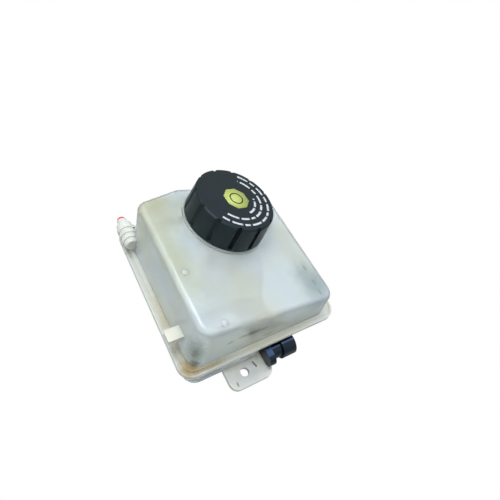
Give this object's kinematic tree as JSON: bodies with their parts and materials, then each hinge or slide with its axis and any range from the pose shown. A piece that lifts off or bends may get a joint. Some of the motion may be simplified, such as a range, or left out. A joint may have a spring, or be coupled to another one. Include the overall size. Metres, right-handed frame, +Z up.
{
  "type": "brake fluid reservoir",
  "caption": "Translucent brake fluid reservoir with sloping roof, inclined screw cap, float level sensor with plug socket, mounting tab, capped side port and outlets below.",
  "frame": {"origin": "centre of the left outlet spigot where it leaves the tank floor", "axes": "+Z up, square to the seam flange; +X to the low side of the roof, along the front edge; +Y to the back, away from the mounting tab"},
  "size_m": [0.1282, 0.1419, 0.0973],
  "materials": {
    "upper_shell": "satin, milky translucent moulding",
    "lower_shell": "satin, milky translucent moulding",
    "red_plug": "satin",
    "cap_black": "fine moulded grain",
    "rubber": "matte",
    "strainer": "satin",
    "float_foam": "fine foam",
    "magnet": "ground",
    "spring_steel": "bright",
    "sensor_black": "glossy moulding",
    "contact_brass": "tin flashed",
    "reed_glass": "clear"
  },
  "bodies": {
    "reservoir": {"upper_shell": "upper_shell", "lower_shell": "lower_shell", "strainer_basket": "strainer", "float_clip": "spring_steel", "sensor_housing": "sensor_black", "sensor_o_ring": "rubber", "sensor_stem_cap": "sensor_black", "terminal_front": "contact_brass", "terminal_rear": "contact_brass", "reed_switch": "reed_glass", "reed_lead_front": "spring_steel", "reed_lead_rear": "spring_steel"},
    "seal": {"cap_diaphragm": "rubber"},
    "cap": {"filler_cap": "cap_black"},
    "float": {"level_float": "float_foam", "float_magnet": "magnet"},
    "plug": {"port_plug": "red_plug"}
  },
  "joints": [
    {"name": "cap_lift", "type": "slide", "parent": "reservoir", "child": "seal", "axis": [0.2215, 0, 0.9751], "range_m": [0, 0.006]},
    {"name": "cap_turn", "type": "hinge", "parent": "seal", "child": "cap", "pos_m": [0.0219, -0.0131, 0.05558], "axis": [0.2215, 0, 0.9751], "range_deg": [0, 540]},
    {"name": "float_rise", "type": "slide", "parent": "reservoir", "child": "float", "axis": [0, 0, 1], "range_m": [0, 0.008]},
    {"name": "plug_pull", "type": "slide", "parent": "reservoir", "child": "plug", "axis": [0, 1, 0], "range_m": [0, 0.0065]}
  ],
  "couplings": [
    {"joint": "cap_lift", "follows": "cap_turn", "m_per_rad": 0.0006366}
  ]
}
